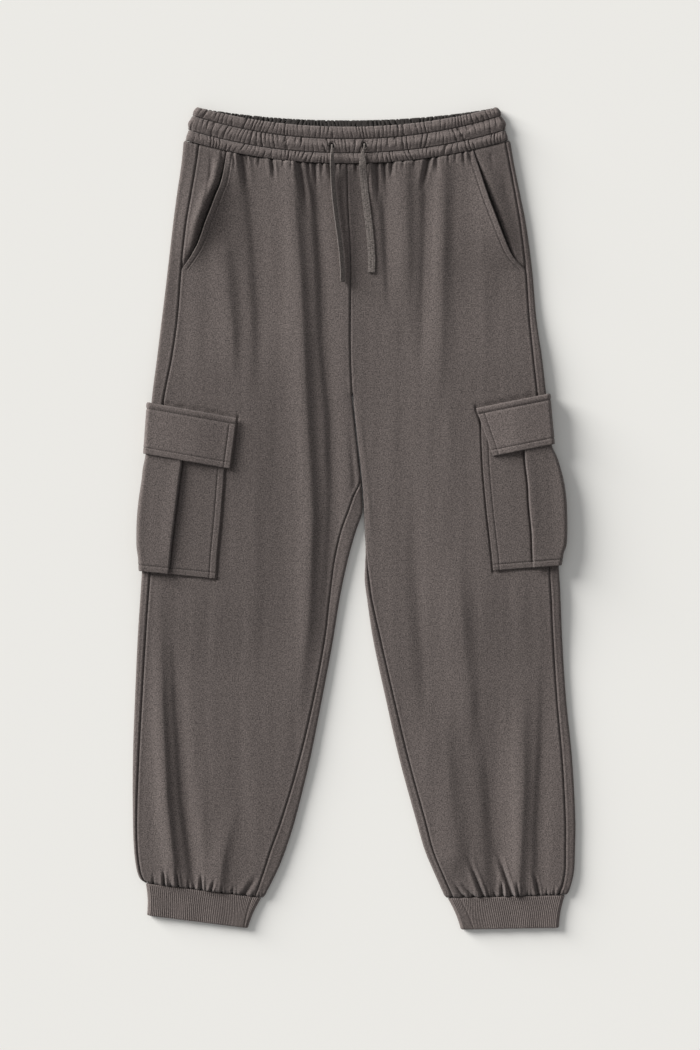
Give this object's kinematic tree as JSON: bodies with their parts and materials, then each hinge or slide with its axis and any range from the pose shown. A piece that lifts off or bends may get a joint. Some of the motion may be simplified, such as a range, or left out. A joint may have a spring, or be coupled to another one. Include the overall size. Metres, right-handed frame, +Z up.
{
  "type": "jogger sweatpants",
  "caption": "Loose fleece jogger trousers laid flat, with gathered elastic waist and drawcord, slant and flap cargo pockets, and ribbed cuffs.",
  "frame": {"origin": "on the surface that the garment lies on, under the middle of its outline", "axes": "+Z up out of the surface towards the front of the garment, +Y from the cuffs towards the waist, +X towards the wearer's left side"},
  "size_m": [0.5528, 1.0262, 0.0219],
  "materials": {
    "sweatshirt_cloth": "matt brown-grey sweatshirt jersey",
    "rib_knit": "matt brown-grey rib knit",
    "tape": "matt brown-grey flat knitted tape"
  },
  "bodies": {
    "root": {"back_left": "sweatshirt_cloth", "back_right": "sweatshirt_cloth", "cargo_flap_left": "sweatshirt_cloth", "cargo_flap_right": "sweatshirt_cloth", "cargo_pocket_left": "sweatshirt_cloth", "cargo_pocket_right": "sweatshirt_cloth", "cuff_left": "rib_knit", "cuff_right": "rib_knit", "drawcord_left": "tape", "drawcord_right": "tape", "front_left": "sweatshirt_cloth", "front_right": "sweatshirt_cloth", "pocket_facing_left": "sweatshirt_cloth", "pocket_facing_right": "sweatshirt_cloth", "waistband_back": "sweatshirt_cloth", "waistband_front": "sweatshirt_cloth"}
  },
  "joints": []
}
